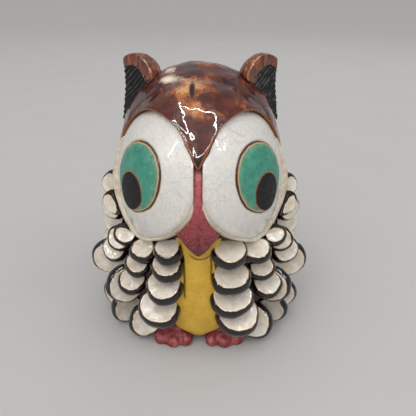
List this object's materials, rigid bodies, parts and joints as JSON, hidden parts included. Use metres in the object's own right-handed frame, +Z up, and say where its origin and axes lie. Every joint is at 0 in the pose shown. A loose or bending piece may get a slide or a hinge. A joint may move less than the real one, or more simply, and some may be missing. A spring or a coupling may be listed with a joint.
{
  "type": "owl figurine",
  "caption": "Squat glazed stoneware owl with bulging outward-looking eyes, tufted ears and overlapping clay disc feathers, for display on a shelf.",
  "frame": {"origin": "middle of the round footprint of the body, on the ground plane", "axes": "+Z up, the face looks towards -Y, +X is to the right as seen from the front"},
  "size_m": [0.0936, 0.0929, 0.1205],
  "materials": {
    "bare_clay": "unglazed fired stoneware",
    "dark_slip": "dark slip in the gaps between the feathers",
    "brown_glaze": "glossy mottled brown glaze breaking to tan",
    "ear_glaze": "glossy brown glaze breaking to tan on the edges",
    "mustard_glaze": "satin mustard yellow glaze with scored lines",
    "rose_glaze": "rose red glaze running darker towards the tip",
    "cream_glaze": "cream glaze over buff clay",
    "white_crackle_glaze": "glossy white glaze with a fine grey crackle",
    "teal_glaze": "satin blue-green glaze",
    "black_slip": "matte black slip",
    "black_pad_slip": "matte black slip with scored strokes",
    "crimson_glaze": "crimson glaze, pinker on the edges",
    "feather_glaze": "glossy off-white faces with black edges"
  },
  "bodies": {
    "root": {"base_slab": "bare_clay", "body_bowl": "dark_slip", "head_bowl": "brown_glaze", "belly_panel": "mustard_glaze", "beak": "rose_glaze", "left_eye_ledge": "cream_glaze", "right_eye_ledge": "cream_glaze", "left_eye_dome": "white_crackle_glaze", "right_eye_dome": "white_crackle_glaze", "left_iris": "teal_glaze", "right_iris": "teal_glaze", "left_pupil": "black_slip", "right_pupil": "black_slip", "left_ear": "ear_glaze", "right_ear": "ear_glaze", "left_ear_pad": "black_pad_slip", "right_ear_pad": "black_pad_slip", "left_foot": "crimson_glaze", "right_foot": "crimson_glaze", "left_feathers_1": "feather_glaze", "left_feathers_2": "feather_glaze", "left_feathers_3": "feather_glaze", "left_feathers_4": "feather_glaze", "left_feathers_5": "feather_glaze", "right_feathers_1": "feather_glaze", "right_feathers_2": "feather_glaze", "right_feathers_3": "feather_glaze", "right_feathers_4": "feather_glaze", "right_feathers_5": "feather_glaze", "back_feathers_1": "feather_glaze", "back_feathers_2": "feather_glaze", "back_feathers_3": "feather_glaze", "back_feathers_4": "feather_glaze", "back_feathers_5": "feather_glaze"}
  },
  "joints": []
}
